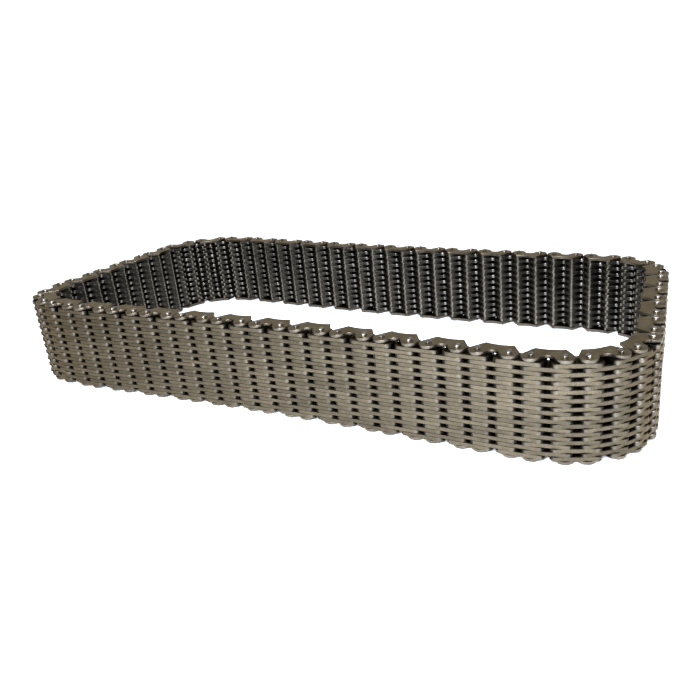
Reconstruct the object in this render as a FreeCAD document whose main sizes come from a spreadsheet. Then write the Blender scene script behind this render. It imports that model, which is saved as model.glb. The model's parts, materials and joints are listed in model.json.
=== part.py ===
import FreeCAD, Part
import math
import os

import Sketcher

# Inverted-tooth drive chain, an endless loop of 84 links lying on its side.
# The plates are horizontal, the pins stand upright, and the teeth face the
# inside of the loop. Guide-plate links ("a" links) and plain links ("b"
# links) alternate. Long pins belong to the a links, and the shorter rockers
# that roll on them belong to the b links.

SHEET_CELLS = [
    # (alias, value, meaning), lengths in mm and angles in degrees
    ("pitch", 9.525, "joint to joint"),
    ("plate_thickness", 1.55, "link plate"),
    ("guide_thickness", 1.25, "guide plate"),
    ("plate_gap", 0.035, "side play between neighbouring plates"),
    ("a_plate_count", 11, "link plates across an a link"),
    ("back_height", 3.45, "pitch line to the flat back of a link plate"),
    ("half_length", 8.95, "link centre to the end of a link plate"),
    ("corner_radius", 1.7, "round back corner of a link plate"),
    ("shoulder_height", 2.0, "pitch line to the top of a link plate's upright end"),
    ("flank_end", 7.75, "link centre to the foot of an outer tooth flank"),
    ("flank_foot", 4.38, "pitch line to that foot"),
    ("tooth_height", 6.3, "pitch line to the tooth tips of a link plate"),
    ("tooth_inner", 4.3, "link centre to the inner edge of a tooth tip"),
    ("tooth_outer", 4.95, "link centre to the outer edge of a tooth tip"),
    ("crotch_radius", 1.1, "round bottom between the two teeth"),
    ("crotch_centre", 4.7, "pitch line to the centre of that round"),
    ("lobe_radius", 3.48, "back lobe of a guide plate"),
    ("lobe_centre", 5.77, "link centre to the centre of a lobe"),
    ("notch_centre", 1.9, "notch centre, behind the pitch line"),
    ("guide_tooth_height", 6.86, "pitch line to the tooth corners of a guide plate"),
    ("guide_tooth_half", 5.33, "link centre to a tooth corner of a guide plate"),
    ("arch_height", 6.0, "pitch line to the middle of the arched tooth edge"),
    ("pin_radius", 1.45, "round back of a pin or rocker"),
    ("pin_centre", 0.55, "joint axis to the centre of that round"),
    ("rocking_radius", 2.0, "face on which pin and rocker roll"),
    ("rocking_gap", 0.07, "joint axis to a rocking face"),
    ("fit_clearance", 0.02, "pin to the wall it is seated in"),
    ("swing_radius", 2.06, "room for the other link's pin in a link plate"),
    ("pin_stand", 0.8, "how far a long pin stands proud of the guide plate"),
    ("pin_end_bevel", 0.3, "broken rim of a long pin's end"),
    ("long_run_sag", -4, "turn along a long run, bowed a little inwards"),
    ("short_run_sag", -1, "turn along a short run"),
]

# Turn at each joint round the two kinds of corner, in degrees.
WIDE_CORNER = [2, 7, 13, 16, 18, 18, 18, 4, 1]
TIGHT_CORNER = [2, 11, 21, 22, 19, 9, 1, 3]
LONG_RUN_JOINTS = 20
SHORT_RUN_JOINTS = 5

# Bodies of the loop in order: name, first link, number of links. Each link
# round a corner swings on its own; a run of links between corners is held.
LINKS_IN_LOOP = 84
RUNS = [("near_run", 0, 25), ("right_end", 29, 9), ("far_run", 42, 25), ("left_end", 71, 9)]
CORNERS = [("near_right", 25), ("far_right", 38), ("far_left", 67), ("near_left", 80)]
CORNER_LINKS = 4

doc = FreeCAD.newDocument("chain")


def make_sheet():
    sheet = doc.addObject("Spreadsheet::Sheet", "sizes")
    for row, (alias, value, meaning) in enumerate(SHEET_CELLS, start=1):
        sheet.set(f"A{row}", alias)
        sheet.set(f"B{row}", str(value))
        sheet.set(f"C{row}", meaning)
        sheet.setAlias(f"B{row}", alias)
    doc.recompute()
    return sheet


sheet = make_sheet()


def size(alias):
    return float(sheet.get(alias))


def origin_feature(body, role):
    return next(f for f in body.Origin.OriginFeatures if f.Role == role)


def new_body(name):
    body = doc.addObject("PartDesign::Body", name)
    body.AllowCompound = True
    return body


def new_sketch(body, name):
    sketch = body.newObject("Sketcher::SketchObject", name)
    sketch.AttachmentSupport = [(origin_feature(body, "XY_Plane"), "")]
    sketch.MapMode = "FlatFace"
    return sketch


def bind(sketch, kind, where, value, expression):
    """Add one dimension to the sketch and tie it to the sheet."""
    index = sketch.addConstraint(Sketcher.Constraint(kind, *where, value))
    sketch.setExpression(f"Constraints[{index}]", expression)


def place_point(sketch, geo, pos, x, y, x_expression, y_expression):
    """Fix a point by its distances from the origin along X and Y."""
    for kind, value, expression in (("DistanceX", x, x_expression), ("DistanceY", y, y_expression)):
        if expression is None:
            axis = -2 if kind == "DistanceX" else -1
            sketch.addConstraint(Sketcher.Constraint("PointOnObject", geo, pos, axis))
        else:
            bind(sketch, kind, (-1, 1, geo, pos), value, expression)


def arc(centre, radius, start, end):
    """Arc that runs anticlockwise from start to end, both given as points."""
    angles = [math.atan2(p[1] - centre[1], p[0] - centre[0]) for p in (start, end)]
    circle = Part.Circle(FreeCAD.Vector(*centre, 0), FreeCAD.Vector(0, 0, 1), radius)
    return Part.ArcOfCircle(circle, angles[0], angles[1])


def line(start, end):
    return Part.LineSegment(FreeCAD.Vector(*start, 0), FreeCAD.Vector(*end, 0))


def tangent_point(point, centre, radius, side):
    """Where a line from the point touches the circle; side is 1 or -1."""
    dx, dy = point[0] - centre[0], point[1] - centre[1]
    turn = side * math.acos(radius / math.hypot(dx, dy))
    angle = math.atan2(dy, dx) + turn
    return (centre[0] + radius * math.cos(angle), centre[1] + radius * math.sin(angle))


def mirrored(point):
    return (-point[0], point[1])


def join(sketch, kind, first, first_pos, second, second_pos):
    sketch.addConstraint(Sketcher.Constraint(kind, first, first_pos, second, second_pos))


def guide_outline(sketch):
    """Two back lobes with a round notch between them, and one broad tooth."""
    lobe = (size("lobe_centre"), 0.0)
    notch = (0.0, -size("notch_centre"))
    reach = math.hypot(*notch, lobe[0])
    notch_radius = reach - size("lobe_radius")
    corner = (size("guide_tooth_half"), size("guide_tooth_height"))
    side = tangent_point(corner, lobe, size("lobe_radius"), -1)
    share = size("lobe_radius") / reach
    throat = (lobe[0] * (1 - share), notch[1] * share)
    rise = corner[1] - size("arch_height")
    arch_radius = (corner[0] ** 2 + rise ** 2) / (2 * rise)
    arch = (0.0, size("arch_height") + arch_radius)
    geo = sketch.addGeometry(
        [
            line(corner, side),
            arc(lobe, size("lobe_radius"), throat, side),
            arc(notch, notch_radius, throat, mirrored(throat)),
            arc(mirrored(lobe), size("lobe_radius"), mirrored(side), mirrored(throat)),
            line(mirrored(side), mirrored(corner)),
            arc(arch, arch_radius, mirrored(corner), corner),
        ]
    )
    right_side, right_lobe, dip, left_lobe, left_side, edge = geo
    join(sketch, "Tangent", right_side, 2, right_lobe, 2)
    join(sketch, "Tangent", right_lobe, 1, dip, 1)
    join(sketch, "Tangent", dip, 2, left_lobe, 2)
    join(sketch, "Tangent", left_lobe, 1, left_side, 1)
    join(sketch, "Coincident", left_side, 2, edge, 1)
    join(sketch, "Coincident", edge, 2, right_side, 1)
    place_point(sketch, right_lobe, 3, lobe[0], 0, "sizes.lobe_centre", None)
    place_point(sketch, left_lobe, 3, -lobe[0], 0, "-sizes.lobe_centre", None)
    bind(sketch, "DistanceY", (-1, 1, dip, 3), notch[1], "-sizes.notch_centre")
    bind(sketch, "Radius", (right_lobe,), size("lobe_radius"), "sizes.lobe_radius")
    bind(sketch, "Radius", (left_lobe,), size("lobe_radius"), "sizes.lobe_radius")
    place_point(sketch, right_side, 1, *corner, "sizes.guide_tooth_half", "sizes.guide_tooth_height")
    place_point(
        sketch, left_side, 2, *mirrored(corner),
        "-sizes.guide_tooth_half", "sizes.guide_tooth_height",
    )
    bind(
        sketch,
        "Radius",
        (edge,),
        arch_radius,
        "(sizes.guide_tooth_half ^ 2 + (sizes.guide_tooth_height - sizes.arch_height) ^ 2)"
        " / (2 * (sizes.guide_tooth_height - sizes.arch_height))",
    )


def plate_outline(sketch):
    """Flat back, upright ends with slanted shoulders, and two teeth with a round crotch."""
    end, back = size("half_length"), -size("back_height")
    corner = (end - size("corner_radius"), back + size("corner_radius"))
    shoulder = (end, size("shoulder_height"))
    foot = (size("flank_end"), size("flank_foot"))
    outer = (size("tooth_outer"), size("tooth_height"))
    inner = (size("tooth_inner"), size("tooth_height"))
    crotch = (0.0, size("crotch_centre"))
    root = tangent_point(inner, crotch, size("crotch_radius"), -1)
    path = [(corner[0], back), (end, corner[1]), shoulder, foot, outer, inner, root]
    mirror = [mirrored(point) for point in path]
    shapes = [line(mirror[0], path[0]), arc(crotch, size("crotch_radius"), mirror[6], path[6])]
    shapes.append(arc(corner, size("corner_radius"), path[0], path[1]))
    shapes.append(arc(mirrored(corner), size("corner_radius"), mirror[1], mirror[0]))
    for start in range(1, 6):
        shapes.append(line(path[start], path[start + 1]))
        shapes.append(line(mirror[start + 1], mirror[start]))
    geo = sketch.addGeometry(shapes)
    flat, dip = geo[:2]
    for half, sign, start, finish in ((geo[2::2], "", 1, 2), (geo[3::2], "-", 2, 1)):
        factor = -1 if sign else 1
        join(sketch, "Tangent", flat, finish, half[0], start)
        join(sketch, "Tangent", half[0], finish, half[1], start)
        for first, second in zip(half[1:5], half[2:6]):
            join(sketch, "Coincident", first, finish, second, start)
        join(sketch, "Tangent", half[5], finish, dip, finish)
        place_point(
            sketch, half[0], 3, factor * corner[0], corner[1],
            f"{sign}(sizes.half_length - sizes.corner_radius)",
            "sizes.corner_radius - sizes.back_height",
        )
        bind(sketch, "Radius", (half[0],), size("corner_radius"), "sizes.corner_radius")
        for piece, point, across, up in (
            (half[2], shoulder, "half_length", "shoulder_height"),
            (half[3], foot, "flank_end", "flank_foot"),
            (half[4], outer, "tooth_outer", "tooth_height"),
            (half[5], inner, "tooth_inner", "tooth_height"),
        ):
            place_point(
                sketch, piece, start, factor * point[0], point[1],
                f"{sign}sizes.{across}", f"sizes.{up}",
            )
    place_point(sketch, dip, 3, *crotch, None, "sizes.crotch_centre")
    bind(sketch, "Radius", (dip,), size("crotch_radius"), "sizes.crotch_radius")


def pin_outline(sketch, side, clearance):
    """Section of a pin right (1) or left (-1) of the joint it sits at.

    A round back and a flatter round rocking face. The joint is half a pitch
    from the link's centre, on the same side as the pin.
    """
    joint = size("pitch") / 2
    back_centre = joint + size("pin_centre")
    face_centre = joint + size("rocking_gap") + size("rocking_radius")
    back_radius = size("pin_radius") + clearance
    face_radius = size("rocking_radius") + clearance
    apart = face_centre - back_centre
    edge_from_face = (apart ** 2 + face_radius ** 2 - back_radius ** 2) / (2 * apart)
    edge_x = face_centre - edge_from_face
    edge_y = math.sqrt(face_radius ** 2 - edge_from_face ** 2)
    low, high = (side * edge_x, -edge_y), (side * edge_x, edge_y)
    if side < 0:
        low, high = high, low
    back = arc((side * back_centre, 0), back_radius, low, high)
    face = arc((side * face_centre, 0), face_radius, high, low)
    back_geo, face_geo = sketch.addGeometry([back, face])
    join(sketch, "Coincident", back_geo, 2, face_geo, 1)
    join(sketch, "Coincident", face_geo, 2, back_geo, 1)
    sign = "-" if side < 0 else ""
    place_point(
        sketch, back_geo, 3, side * back_centre, 0,
        f"{sign}(sizes.pitch / 2 + sizes.pin_centre)", None,
    )
    place_point(
        sketch, face_geo, 3, side * face_centre, 0,
        f"{sign}(sizes.pitch / 2 + sizes.rocking_gap + sizes.rocking_radius)", None,
    )
    extra = " + sizes.fit_clearance" if clearance else ""
    bind(sketch, "Radius", (back_geo,), back_radius, f"sizes.pin_radius{extra}")
    bind(sketch, "Radius", (face_geo,), face_radius, f"sizes.rocking_radius{extra}")


def aperture_outline(sketch, side):
    """Hole in a link plate: a seat for its own pin, and room for the other."""
    joint = side * size("pitch") / 2
    seat = side * (size("pitch") / 2 + size("pin_centre"))
    seat_radius = size("pin_radius") + size("fit_clearance")
    swing = size("swing_radius")
    start, end = (joint, swing * side), (joint, -swing * side)
    low, high = (seat, -seat_radius * side), (seat, seat_radius * side)
    room_geo, seat_geo, top_geo, bottom_geo = sketch.addGeometry(
        [
            arc((joint, 0), swing, start, end),
            arc((seat, 0), seat_radius, low, high),
            line(high, start),
            line(end, low),
        ]
    )
    join(sketch, "Coincident", seat_geo, 2, top_geo, 1)
    join(sketch, "Coincident", top_geo, 2, room_geo, 1)
    join(sketch, "Coincident", room_geo, 2, bottom_geo, 1)
    join(sketch, "Coincident", bottom_geo, 2, seat_geo, 1)
    sign = "-" if side < 0 else ""
    place_point(sketch, room_geo, 3, joint, 0, f"{sign}sizes.pitch / 2", None)
    place_point(
        sketch, seat_geo, 3, seat, 0, f"{sign}(sizes.pitch / 2 + sizes.pin_centre)", None
    )
    bind(sketch, "Radius", (room_geo,), swing, "sizes.swing_radius")
    bind(sketch, "Radius", (seat_geo,), seat_radius, "sizes.pin_radius + sizes.fit_clearance")
    join(sketch, "Vertical", room_geo, 1, room_geo, 2)
    join(sketch, "Vertical", seat_geo, 1, seat_geo, 2)
    joint_expression = f"{sign}sizes.pitch / 2"
    seat_expression = f"{sign}(sizes.pitch / 2 + sizes.pin_centre)"
    bind(sketch, "DistanceX", (-1, 1, room_geo, 1), joint, joint_expression)
    bind(sketch, "DistanceX", (-1, 1, seat_geo, 1), seat, seat_expression)


def pad(body, sketch, name, length_expression, offset_expression):
    """Extrude the sketch upwards, starting at the given height."""
    sketch.setExpression("AttachmentOffset.Base.z", offset_expression)
    feature = body.newObject("PartDesign::Pad", name)
    feature.Profile = sketch
    feature.setExpression("Length", length_expression)
    sketch.Visibility = False


def pocket(body, sketch, name):
    """Cut the sketch right through, upwards from its own height."""
    feature = body.newObject("PartDesign::Pocket", name)
    feature.Profile = sketch
    feature.Reversed = True
    feature.Type = "ThroughAll"
    sketch.Visibility = False


def make_guide_plate():
    """Lower guide plate of one link, with its outer face down at height 0."""
    body = new_body("guide_plate")
    outline = new_sketch(body, "guide_outline")
    guide_outline(outline)
    pad(body, outline, "guide_blank", "sizes.guide_thickness", "0")
    holes = new_sketch(body, "guide_holes")
    for side in (1, -1):
        pin_outline(holes, side, size("fit_clearance"))
    pocket(body, holes, "guide_pin_holes")
    return body


def make_link_plate():
    """Link plate with its lower face at height 0."""
    body = new_body("link_plate")
    outline = new_sketch(body, "plate_outline")
    plate_outline(outline)
    pad(body, outline, "plate_blank", "sizes.plate_thickness", "0")
    holes = new_sketch(body, "plate_apertures")
    for side in (1, -1):
        aperture_outline(holes, side)
    pocket(body, holes, "plate_pin_apertures")
    return body


STACK = (
    "((2 * sizes.a_plate_count + 1) * (sizes.plate_thickness + sizes.plate_gap)"
    " + sizes.plate_gap)"
)


def make_long_pin():
    """Right-hand long pin of one link, with its lower end at height 0."""
    body = new_body("long_pin")
    section = new_sketch(body, "pin_section")
    pin_outline(section, 1, 0)
    pad(body, section, "pin_shank", f"{STACK} + 2 * (sizes.guide_thickness + sizes.pin_stand)", "0")
    doc.recompute()
    blank = body.Tip
    rims = [
        f"Edge{number}"
        for number, edge in enumerate(body.Shape.Edges, start=1)
        if edge.BoundBox.ZLength < 1e-6
    ]
    chamfer = body.newObject("PartDesign::Chamfer", "pin_end_chamfer")
    chamfer.Base = (blank, rims)
    chamfer.setExpression("Size", "sizes.pin_end_bevel")
    return body


def make_rocker():
    """Right-hand rocker of one link, with its lower end at height 0."""
    body = new_body("rocker")
    section = new_sketch(body, "rocker_section")
    pin_outline(section, 1, 0)
    pad(body, section, "rocker_length", f"{STACK} - 2 * sizes.plate_gap", "0")
    return body


def spread(total, count):
    """Share a turn over the joints of a run, most of it in the middle."""
    shares = [1 - math.cos(2 * math.pi * (index + 0.5) / count) for index in range(count)]
    return [total * share / sum(shares) for share in shares]


def joint_turns():
    """Turn in degrees at each joint; the second half of the loop repeats the first."""
    long_run = spread(size("long_run_sag"), LONG_RUN_JOINTS)
    short_run = spread(size("short_run_sag"), SHORT_RUN_JOINTS)
    half = TIGHT_CORNER[6:] + long_run + WIDE_CORNER + short_run + TIGHT_CORNER[:6]
    if abs(sum(half) - 180) > 1e-9 or 2 * len(half) != LINKS_IN_LOOP:
        raise ValueError("the loop does not close")
    return half + half


def link_frames():
    """Placement of each link: its middle on the pitch line, X along the chain, Y inwards."""
    pitch = size("pitch")
    headings = [0.0]
    for turn in joint_turns()[:-1]:
        headings.append(headings[-1] + turn)
    joints = [FreeCAD.Vector()]
    for heading in headings:
        angle = math.radians(heading)
        joints.append(joints[-1] + FreeCAD.Vector(math.cos(angle), math.sin(angle), 0) * pitch)
    centre = (joints[0] + joints[LINKS_IN_LOOP // 2]) * 0.5
    run = joints[RUNS[0][2]] - joints[0]
    square = FreeCAD.Rotation(FreeCAD.Vector(0, 0, 1), -math.degrees(math.atan2(run.y, run.x)))
    frames = []
    for heading, start, end in zip(headings, joints, joints[1:]):
        middle = square.multVec((start + end) * 0.5 - centre)
        along = FreeCAD.Rotation(FreeCAD.Vector(0, 0, 1), heading)
        frames.append(FreeCAD.Placement(middle, square.multiply(along)))
    return frames


def height(z):
    return FreeCAD.Placement(FreeCAD.Vector(0, 0, z), FreeCAD.Rotation())


def half_turn(axis, z=0.0):
    """Half a turn about a horizontal or upright axis through the link's middle."""
    turn = FreeCAD.Rotation(FreeCAD.Vector(*axis), 180)
    return FreeCAD.Placement(FreeCAD.Vector(0, 0, z), turn)


def piece_places():
    """Where each kind of piece sits within one link's own frame."""
    step = size("plate_thickness") + size("plate_gap")
    rows = 2 * int(size("a_plate_count")) + 1
    floor = size("pin_stand") + size("guide_thickness") + size("plate_gap")
    top = 2 * (size("pin_stand") + size("guide_thickness")) + rows * step + size("plate_gap")
    plates = [height(floor + row * step) for row in range(rows)]
    stand = height(size("pin_stand"))
    flipped = half_turn((0, 1, 0), top - size("pin_stand"))
    return {
        "guide_plates": [stand, flipped],
        "link_plates_a": plates[1::2],
        "link_plates_b": plates[0::2],
        "long_pins": [height(0), half_turn((0, 0, 1))],
        "rockers": [height(floor), half_turn((0, 0, 1), floor)],
    }


MASTERS = {
    "guide_plates": make_guide_plate(),
    "link_plates_a": make_link_plate(),
    "long_pins": make_long_pin(),
    "rockers": make_rocker(),
}
MASTERS["link_plates_b"] = MASTERS["link_plates_a"]
A_LINK_PIECES = ("guide_plates", "link_plates_a", "long_pins")
B_LINK_PIECES = ("link_plates_b", "rockers")

doc.recompute()
frames = link_frames()
places = piece_places()


def add_node(label, kind, links):
    """One node: the same kind of piece repeated on each of the links given."""
    array = doc.addObject("App::Link", f"{label}_copies")
    array.LinkedObject = MASTERS[kind]
    array.LinkTransform = False
    array.ShowElement = False
    array.ElementCount = len(links) * len(places[kind])
    array.PlacementList = [
        frames[link].multiply(place) for link in links for place in places[kind]
    ]
    node = doc.addObject("Part::Compound", label)
    node.Label = label
    node.Links = [array]
    node.Placement = FreeCAD.Placement()
    return node


nodes = []
for run_name, first, count in RUNS:
    links = range(first, first + count)
    for kind in A_LINK_PIECES:
        nodes.append(add_node(f"{run_name}_{kind}", kind, [n for n in links if n % 2 == 0]))
    for kind in B_LINK_PIECES:
        nodes.append(add_node(f"{run_name}_{kind}", kind, [n for n in links if n % 2 == 1]))
for corner, first in CORNERS:
    for number in range(CORNER_LINKS):
        link = first + number
        for kind in A_LINK_PIECES if link % 2 == 0 else B_LINK_PIECES:
            nodes.append(add_node(f"{corner}_link_{number + 1}_{kind}", kind, [link]))

doc.recompute()
for item in doc.Objects:
    if "Invalid" in item.State or "Error" in item.State:
        raise RuntimeError(f"{item.Name} failed: {item.State}")
os.makedirs("parts", exist_ok=True)
for node in nodes:
    if node.Shape.isNull() or not node.Shape.isValid():
        raise RuntimeError(f"{node.Label} has no valid shape")
    node.Shape.exportStep(f"parts/{node.Label}.step")
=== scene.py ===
import json
import math

import bmesh
import bpy
import numpy as np
from mathutils import Matrix, Vector

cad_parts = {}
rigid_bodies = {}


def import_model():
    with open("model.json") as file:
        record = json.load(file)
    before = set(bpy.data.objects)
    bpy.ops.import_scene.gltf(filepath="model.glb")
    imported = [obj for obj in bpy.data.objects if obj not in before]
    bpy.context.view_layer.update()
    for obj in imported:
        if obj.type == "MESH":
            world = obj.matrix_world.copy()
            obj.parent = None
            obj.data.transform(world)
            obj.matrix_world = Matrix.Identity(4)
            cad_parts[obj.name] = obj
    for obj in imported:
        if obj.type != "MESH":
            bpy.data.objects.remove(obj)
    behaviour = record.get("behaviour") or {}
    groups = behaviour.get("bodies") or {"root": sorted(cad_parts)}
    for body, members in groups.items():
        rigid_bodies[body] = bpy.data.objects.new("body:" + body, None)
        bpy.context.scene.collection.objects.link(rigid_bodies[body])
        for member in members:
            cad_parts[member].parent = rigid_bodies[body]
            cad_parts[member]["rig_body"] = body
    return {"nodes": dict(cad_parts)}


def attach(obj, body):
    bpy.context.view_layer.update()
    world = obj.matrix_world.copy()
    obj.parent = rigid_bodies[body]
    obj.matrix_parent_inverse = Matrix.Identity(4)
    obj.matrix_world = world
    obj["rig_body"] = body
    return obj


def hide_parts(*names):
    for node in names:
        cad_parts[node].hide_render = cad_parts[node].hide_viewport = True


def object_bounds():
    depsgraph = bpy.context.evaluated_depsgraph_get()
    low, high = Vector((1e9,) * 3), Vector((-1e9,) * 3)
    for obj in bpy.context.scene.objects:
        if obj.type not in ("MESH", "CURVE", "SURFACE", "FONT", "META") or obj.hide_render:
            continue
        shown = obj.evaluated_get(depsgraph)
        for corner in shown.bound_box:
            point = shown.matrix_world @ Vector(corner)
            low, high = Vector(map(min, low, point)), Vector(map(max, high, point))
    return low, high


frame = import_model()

MM = 0.001
WELD = 1e-6

# Widths of the edges, in mm: a plate's upper edge is rolled over by the punch, its lower one is
# only broken, and a pin's rims are rounded.
LINK_ROLL = 0.2
GUIDE_ROLL = 0.12
BROKEN_EDGE = 0.1
PIN_RIM = 0.12

# The plates are scattered through this much noise, in mm, so that each has marks of its own.
MARKS_SPREAD = 80.0

cad_low, cad_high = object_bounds()
middle = (cad_low + cad_high) / 2
rng = np.random.default_rng(84)


# ---------------------------------------------------------------- CAD solids

def welded(node):
    """Vertices and triangles of a CAD node, with the vertices that share a place joined."""
    mesh = frame["nodes"][node].data
    co = np.empty(len(mesh.vertices) * 3, np.float32)
    mesh.vertices.foreach_get("co", co)
    tri = np.empty(len(mesh.polygons) * 3, np.int32)
    mesh.polygons.foreach_get("vertices", tri)
    co = co.reshape(-1, 3).astype(float)
    _, first, inverse = np.unique(np.round(co / WELD), axis=0, return_index=True, return_inverse=True)
    return co[first], inverse.ravel()[tri].reshape(-1, 3)


def solids(node):
    """The separate solids of a CAD node, each as (vertices, triangles)."""
    co, tri = welded(node)
    label = np.arange(len(co))
    while True:
        low = label[tri].min(axis=1)
        new = label.copy()
        np.minimum.at(new, tri.ravel(), np.repeat(low, 3))
        new = new[new]
        if (new == label).all():
            break
        label = new
    owner = label[tri[:, 0]]
    found = []
    for i in np.unique(owner):
        used, local = np.unique(tri[owner == i], return_inverse=True)
        found.append((co[used], local.reshape(-1, 3)))
    return found


def plate_place(co, tri):
    """Centre and heading of a plate that lies flat. The heading is that of its link, with the
    teeth on the left, on the loop's inner side."""
    a, b, c = co[tri[:, 0]], co[tri[:, 1]], co[tri[:, 2]]
    twice = (b[:, 0] - a[:, 0]) * (c[:, 1] - a[:, 1]) - (b[:, 1] - a[:, 1]) * (c[:, 0] - a[:, 0])
    area = np.maximum(twice, 0) / 2
    corners = np.stack([a, b, c])[:, :, :2]
    centre = (corners.mean(axis=0) * area[:, None]).sum(axis=0) / area.sum()
    mids = np.stack([(a + b) / 2, (b + c) / 2, (c + a) / 2])[:, :, :2] - centre
    second = np.einsum("ktm,ktn,t->mn", mids, mids, area / 3)
    axis = np.linalg.eigh(second)[1][:, 1]
    inward = np.array([-axis[1], axis[0]])
    if inward @ (np.array(middle[:2]) - centre) < 0:
        axis = -axis
    return centre, np.array([[axis[0], -axis[1]], [axis[1], axis[0]]])


# ---------------------------------------------------------------- detailed meshes

def outline_edges(bm, z):
    """Edges of the outer outline at height z: the loop that reaches furthest along the link."""
    left = {e for e in bm.edges if all(abs(v.co.z - z) < 0.01 for v in e.verts)
            and sorted(abs(f.normal.z) > 0.9 for f in e.link_faces) == [False, True]}
    loops = []
    while left:
        group, todo = set(), [left.pop()]
        while todo:
            e = todo.pop()
            group.add(e)
            for v in e.verts:
                for other in v.link_edges:
                    if other in left:
                        left.discard(other)
                        todo.append(other)
        loops.append(group)
    return list(max(loops, key=lambda g: max(v.co.x for e in g for v in e.verts)))


def plate_master(node, rolled):
    """The top plate of a CAD node with its blanked edges: rolled over on the upper side, where the
    punch entered, and a small broken edge below. Lengths are in mm from the plate's centroid, with
    X along the link, Y towards the teeth and Z up from the plate's underside."""
    co, tri = max(solids(node), key=lambda solid: solid[0][:, 2].max())
    centre, turn = plate_place(co, tri)
    flat = (co[:, :2] - centre) @ turn
    bm = bmesh.new()
    verts = [bm.verts.new(p) for p in np.column_stack([flat, co[:, 2] - co[:, 2].min()]) / MM]
    for t in tri:
        bm.faces.new([verts[i] for i in t])
    bm.normal_update()
    bmesh.ops.dissolve_limit(bm, angle_limit=math.radians(0.4), verts=bm.verts, edges=bm.edges)
    bm.normal_update()
    top = max(v.co.z for v in bm.verts)
    for z, width in ((top, rolled), (0.0, BROKEN_EDGE)):
        bmesh.ops.bevel(bm, geom=outline_edges(bm, z), offset=width, segments=2, profile=0.5,
                        affect="EDGES", clamp_overlap=True)
        bm.normal_update()
    bmesh.ops.triangulate(bm, faces=[f for f in bm.faces if len(f.verts) > 4])
    bm.verts.index_update()
    points = np.array([v.co for v in bm.verts])
    faces = [[v.index for v in f.verts] for f in bm.faces]
    bm.free()
    return points, faces


def show_piece(node, mesh, material):
    """Hang a mesh on the node's body in place of the node."""
    mesh.materials.append(material)
    piece = bpy.data.objects.new(node + "_detailed", mesh)
    bpy.context.scene.collection.objects.link(piece)
    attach(piece, frame["nodes"][node]["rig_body"])
    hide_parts(node)
    return piece


def vector_attribute(mesh, name, values):
    attribute = mesh.attributes.new(name, "FLOAT_VECTOR", "POINT")
    attribute.data.foreach_set("vector", values.astype(np.float32).ravel())


def plate_piece(node, master, slot_name, material):
    """One detailed plate at the place of each solid of a CAD node. The lower guide plates are
    turned over, so that their rolled edges face outwards too. plate_mm is a point's place on its
    plate in mm, with Y zero at the tooth tips, and plate_tone is three random values for a plate."""
    points, faces = master
    placed, tones = [], []
    for co, tri in solids(node):
        centre, turn = plate_place(co, tri)
        low, high = co[:, 2].min(), co[:, 2].max()
        own = points * MM
        if slot_name == "guide_plate_steel" and low < middle.z:
            own = np.column_stack([-own[:, 0], own[:, 1], high - low - own[:, 2]])
        placed.append(np.column_stack([own[:, :2] @ turn.T + centre, own[:, 2] + low]))
        tones.append(rng.uniform(0, 1, 3))
    count = len(placed)
    loops = np.concatenate([np.array(f) for f in faces])
    sizes = np.array([len(f) for f in faces])
    starts = np.concatenate([[0], np.cumsum(sizes)[:-1]])
    mesh = bpy.data.meshes.new(node + "_plates")
    mesh.vertices.add(count * len(points))
    mesh.loops.add(count * len(loops))
    mesh.polygons.add(count * len(sizes))
    mesh.vertices.foreach_set("co", np.concatenate(placed).astype(np.float32).ravel())
    step = np.arange(count)[:, None]
    mesh.loops.foreach_set("vertex_index", (loops + step * len(points)).astype(np.int32).ravel())
    mesh.polygons.foreach_set("loop_start", (starts + step * len(loops)).astype(np.int32).ravel())
    mesh.update(calc_edges=True)
    from_tips = points - [0.0, points[:, 1].max(), 0.0]
    vector_attribute(mesh, "plate_mm", np.tile(from_tips, (count, 1)))
    vector_attribute(mesh, "plate_tone", np.repeat(np.array(tones), len(points), axis=0))
    mesh.shade_smooth()
    mesh.set_sharp_from_angle(angle=math.radians(38))
    piece = show_piece(node, mesh, material)
    piece.modifiers.new("flat faces stay flat", "WEIGHTED_NORMAL").keep_sharp = True


def pin_piece(node, material):
    """The pins of a CAD node with their rims rounded off."""
    co, tri = welded(node)
    mesh = bpy.data.meshes.new(node + "_pins")
    mesh.from_pydata(co.tolist(), [], tri.tolist())
    mesh.shade_smooth()
    piece = show_piece(node, mesh, material)
    rims = piece.modifiers.new("rounded rims", "BEVEL")
    rims.width = PIN_RIM * MM
    rims.segments = 2
    rims.limit_method = "ANGLE"
    rims.angle_limit = math.radians(25)
    piece.modifiers.new("flat faces stay flat", "WEIGHTED_NORMAL")


# ---------------------------------------------------------------- materials

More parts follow.
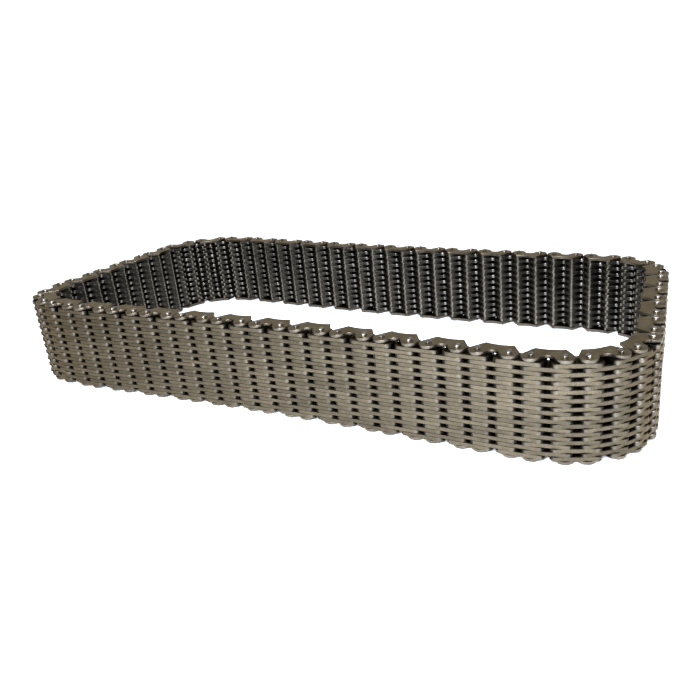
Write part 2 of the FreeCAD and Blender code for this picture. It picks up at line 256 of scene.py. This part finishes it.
class Tree:
    """Short helpers to build a material's nodes."""

    def __init__(self, name):
        self.material = bpy.data.materials.new(name)
        self.material.use_nodes = True
        self.nodes = self.material.node_tree.nodes
        self.links = self.material.node_tree.links
        self.shader = self.nodes["Principled BSDF"]

    def set(self, socket, value):
        if isinstance(value, bpy.types.NodeSocket):
            self.links.new(value, socket)
        else:
            socket.default_value = value

    def add(self, kind, out=0, props=None, **inputs):
        node = self.nodes.new(kind)
        for key, value in (props or {}).items():
            setattr(node, key, value)
        for key, value in inputs.items():
            key = key.replace("_", " ")
            self.set(node.inputs[int(key[1:])] if key[1:].isdigit() else node.inputs[key], value)
        return node.outputs[out]

    def math(self, operation, a, b=0.0):
        return self.add("ShaderNodeMath", props={"operation": operation}, i0=a, i1=b)

    def ramp(self, value, low, high, out_low=0.0, out_high=1.0):
        return self.add("ShaderNodeMapRange", Value=value, From_Min=low, From_Max=high,
                        To_Min=out_low, To_Max=out_high)

    def mix(self, factor, a, b):
        return self.add("ShaderNodeMix", out=2, props={"data_type": "RGBA"}, i0=factor, i6=a, i7=b)

    def shade(self, colour, factor):
        """Darken or lighten a colour by a factor."""
        return self.add("ShaderNodeVectorMath", props={"operation": "SCALE"}, i0=colour, i3=factor)

    def noise(self, where, scale, detail=3.0, rough=0.5):
        return self.add("ShaderNodeTexNoise", Vector=where, Scale=scale, Detail=detail, Roughness=rough)

    def attribute(self, name):
        return self.add("ShaderNodeAttribute", out=1, props={"attribute_name": name})

    def parts(self, vector):
        node = self.nodes.new("ShaderNodeSeparateXYZ")
        self.links.new(vector, node.inputs[0])
        return node.outputs

    def both(self, a, b):
        """Two masks or factors multiplied."""
        return self.math("MULTIPLY", a, b)

    def scattered(self, place, tone):
        """Where to read the noise: the place on the plate, moved by the plate's random values."""
        return self.add("ShaderNodeVectorMath", props={"operation": "ADD"}, i0=place,
                        i1=self.shade(tone, MARKS_SPREAD))

    def metal(self, colour, roughness):
        self.set(self.shader.inputs["Base Color"], colour)
        self.set(self.shader.inputs["Metallic"], 1.0)
        self.set(self.shader.inputs["Roughness"], roughness)

    def by_stops(self, value, stops):
        """Colour by value, in straight steps between the stops (value, colour)."""
        low, high = stops[0][0], stops[-1][0]
        node = self.nodes.new("ShaderNodeValToRGB")
        self.links.new(self.ramp(value, low, high), node.inputs[0])
        elements = node.color_ramp.elements
        elements[0].color, elements[-1].color = stops[0][1], stops[-1][1]
        for at, colour in stops[1:-1]:
            elements.new((at - low) / (high - low)).color = colour
        return node.outputs[0]


def srgb(r, g, b):
    return tuple((c / 255 / 12.92 if c / 255 <= 0.04045 else ((c / 255 + 0.055) / 1.055) ** 2.4)
                 for c in (r, g, b)) + (1.0,)


def link_steel():
    """Brown on the back, dark through the body, and lighter at the tips and in the crotch. The dark body is
    painted shade together with oil. The light tips, crotch bottoms and back corners are painted highlights.
    Both faces along the joints with the next plates, and the ends by the gaps, are darkened with painted
    shade. Places are in mm on the plate: |x| from its middle, y from the tooth tips, z from its underside."""
    t = Tree("oiled link plate steel, painted shade and highlights")
    place = t.attribute("plate_mm")
    x, y, z = t.parts(place)
    off_middle = t.math("ABSOLUTE", x)
    tone = t.attribute("plate_tone")
    brightness, seam_tone, crotch_tone = t.parts(tone)
    where = t.scattered(place, tone)
    blotch = t.noise(where, 0.3, 4.0, 0.6)
    speckle = t.noise(where, 2.6, 3.0, 0.7)

    # Painted shade with oil: the plate is dark from just inside the back to just short of the tips, over the
    # ends in the gaps and over the flanks. The thin light line at the tips is a painted highlight.
    colour = t.by_stops(y, [
        (-9.75, srgb(67, 60, 48)),
        (-9.2, srgb(73, 67, 56)),
        (-8.4, srgb(26, 22, 18)),
        (-5.0, srgb(22, 19, 16)),
        (-3.9, srgb(38, 35, 30)),
        (-0.2, srgb(43, 40, 35)),
        (-0.06, srgb(96, 90, 79)),
    ])
    # Painted highlight: the bottom of each crotch is made lighter, by a random amount for each plate.
    in_crotch = t.both(t.both(t.ramp(off_middle, 1.0, 0.6), t.ramp(y, -2.0, -2.4)), t.ramp(y, -5.0, -4.0))
    lit = t.mix(crotch_tone, srgb(78, 74, 68), srgb(118, 114, 107))
    colour = t.mix(in_crotch, colour, lit)
    # Painted highlight: the back corners at both ends of a plate are made lighter and greyer.
    painted_corner_highlight = t.both(t.ramp(off_middle, 6.4, 8.2, 0.0, 0.7), t.ramp(y, -8.4, -9.0))
    colour = t.mix(painted_corner_highlight, colour, srgb(78, 73, 65))

    # Painted shade with oil: both faces darken where the plate lies on its neighbours, and much more on a
    # few plates picked at random.
    off_seam = t.both(t.ramp(z, 0.05, 0.16), t.ramp(z, 1.53, 1.42))
    seam_painted_shade = t.ramp(off_seam, 0.0, 1.0, t.ramp(seam_tone, 0.8, 0.9, 0.78, 0.1), 1.0)
    own_tone = t.ramp(brightness, 0.0, 1.0, 0.82, 1.18)
    marks = t.both(t.ramp(blotch, 0.3, 0.7, 0.8, 1.2), t.ramp(speckle, 0.3, 0.7, 0.65, 1.35))
    # Painted shade: the ends of the plate beside the gaps in its row are darkened towards the teeth.
    on_shoulder = t.both(t.ramp(off_middle, 7.8, 8.2), t.ramp(y, -7.0, -6.0))
    shoulder_painted_shade = t.ramp(on_shoulder, 0.0, 1.0, 1.0, 0.3)
    factor = t.both(t.both(t.both(seam_painted_shade, own_tone), marks), shoulder_painted_shade)
    t.metal(t.shade(colour, factor), t.ramp(blotch, 0.3, 0.7, 0.3, 0.46))
    t.set(t.shader.inputs["Specular Tint"], (0.66, 0.6, 0.52, 1.0))

    # The bump, in mm: a grain drawn out along the thickness, and ends that fall away past |x| = 6.
    stretched = t.add("ShaderNodeMapping", Vector=where, Scale=(5.0, 5.0, 0.7))
    grain = t.both(t.noise(stretched, 1.0, 3.0, 0.6), 0.02)
    past_flat = t.math("MAXIMUM", t.math("SUBTRACT", off_middle, 6.0), 0.0)
    fall = t.both(t.both(past_flat, past_flat), -0.16)
    height = t.math("ADD", grain, fall)
    t.set(t.shader.inputs["Normal"], t.add("ShaderNodeBump", Height=height, Strength=1.0, Distance=MM))
    return t.material


def guide_steel():
    """A light upper flat, and darker blanked edges that end in a dark band of painted shade at the
    underside, where the plate lies on the links.
    """
    t = Tree("dark guide plate steel")
    place = t.attribute("plate_mm")
    z = t.parts(place)[2]
    where = t.scattered(place, t.attribute("plate_tone"))
    blotch = t.noise(where, 0.22, 5.0, 0.6)
    blotch_mask = t.ramp(blotch, 0.3, 0.7)
    flat = t.mix(blotch_mask, srgb(81, 73, 59), srgb(108, 99, 82))
    blanked = t.mix(blotch_mask, srgb(60, 54, 46), srgb(88, 81, 71))
    below_flat = t.ramp(z, 1.25, 1.14)
    colour = t.mix(below_flat, flat, blanked)
    # Painted shade: the blanked edges darken towards the face that lies on the links.
    seam_painted_shade = t.ramp(z, 0.08, 0.24, 0.12, 1.0)
    t.metal(t.shade(colour, seam_painted_shade), t.ramp(blotch, 0.3, 0.7, 0.32, 0.46))
    t.set(t.shader.inputs["Specular Tint"], (0.84, 0.75, 0.61, 1.0))
    grain = t.noise(where, 3.0, 3.0, 0.6)
    t.set(t.shader.inputs["Normal"], t.add("ShaderNodeBump", Height=grain, Strength=0.3, Distance=0.03 * MM))
    return t.material


def pin_steel():
    t = Tree("ground pin steel")
    where = t.add("ShaderNodeTexCoord", out=3)
    blotch = t.noise(where, 900.0, 3.0, 0.55)
    colour = t.mix(blotch, srgb(102, 98, 92), srgb(136, 132, 126))
    t.metal(colour, t.ramp(blotch, 0.3, 0.7, 0.2, 0.32))
    return t.material


link_material = link_steel()
guide_material = guide_steel()
pin_material = pin_steel()
link_master = plate_master("near_right_link_1_link_plates_b", LINK_ROLL)
guide_master = plate_master("near_right_link_2_guide_plates", GUIDE_ROLL)
for name, node in sorted(frame["nodes"].items()):
    if "link_plates" in name:
        plate_piece(name, link_master, "link_plate_steel", link_material)
    elif "guide_plates" in name:
        plate_piece(name, guide_master, "guide_plate_steel", guide_material)
    elif "long_pins" in name:
        pin_piece(name, pin_material)
    else:
        node.data.materials.clear()
        node.data.materials.append(pin_material)


# ---------------------------------------------------------------- floor, light and camera

def stage_floor():
    t = Tree("pale floor")
    t.set(t.shader.inputs["Base Color"], srgb(246, 246, 245))
    t.set(t.shader.inputs["Roughness"], 0.9)
    mesh = bpy.data.meshes.new("floor")
    reach, z = 40.0, cad_low.z - 0.0002
    mesh.from_pydata([(-reach, -reach, z), (reach, -reach, z), (reach, reach, z), (-reach, reach, z)],
                     [], [(0, 1, 2, 3)])
    mesh.materials.append(t.material)
    floor = bpy.data.objects.new("floor", mesh)
    bpy.context.scene.collection.objects.link(floor)


def add_light(name, kind, place, target, power, **settings):
    lamp = bpy.data.lights.new(name, kind)
    lamp.energy = power
    for key, value in settings.items():
        setattr(lamp, key, value)
    holder = bpy.data.objects.new(name, lamp)
    holder.location = place
    holder.rotation_euler = (Vector(target) - Vector(place)).to_track_quat("-Z", "Y").to_euler()
    bpy.context.scene.collection.objects.link(holder)


def sky():
    """White near the horizon, like a lit cyclorama, and dimmer overhead."""
    world = bpy.data.worlds.new("studio")
    bpy.context.scene.world = world
    world.use_nodes = True
    nodes, links = world.node_tree.nodes, world.node_tree.links
    where = nodes.new("ShaderNodeTexCoord")
    split = nodes.new("ShaderNodeSeparateXYZ")
    ramp = nodes.new("ShaderNodeValToRGB")
    links.new(where.outputs["Generated"], split.inputs[0])
    links.new(split.outputs["Z"], ramp.inputs[0])
    links.new(ramp.outputs[0], nodes["Background"].inputs["Color"])
    ramp.color_ramp.elements[0].position = 0.16
    ramp.color_ramp.elements[0].color = (1.0, 1.0, 1.0, 1.0)
    ramp.color_ramp.elements[1].position = 0.42
    ramp.color_ramp.elements[1].color = (0.4, 0.4, 0.41, 1.0)
    nodes["Background"].inputs["Strength"].default_value = 1.05


def camera():
    data = bpy.data.cameras.new("view")
    data.sensor_width = 36.0
    data.lens = 34.85
    data.shift_x, data.shift_y = -0.1367, -0.0302
    data.clip_start, data.clip_end = 0.01, 100.0
    eye = bpy.data.objects.new("view", data)
    turn = (Matrix.Rotation(math.radians(23.631), 4, "Z") @ Matrix.Rotation(math.radians(69.835), 4, "X")
            @ Matrix.Rotation(math.radians(-3.016), 4, "Z"))
    eye.matrix_world = Matrix.Translation((0.1702, -0.2713, 0.1275)) @ turn
    bpy.context.scene.collection.objects.link(eye)
    bpy.context.scene.camera = eye


stage_floor()
sky()
add_light("ceiling", "SUN", (0.2, -0.4, 1.4), (0, 0, 0), 2.6, angle=math.radians(60))
add_light("front box", "AREA", (0.14, -0.31, 0.22), (0.1, -0.14, 0.0), 7.9,
          shape="RECTANGLE", size=0.14, size_y=0.14, color=(0.88, 0.98, 1.18))
add_light("side box", "AREA", (0.8, -0.42, 0.2), (0.0, -0.07, 0.02), 1.0,
          shape="RECTANGLE", size=0.5, size_y=0.38)
camera()
bpy.context.scene.view_settings.view_transform = "Standard"
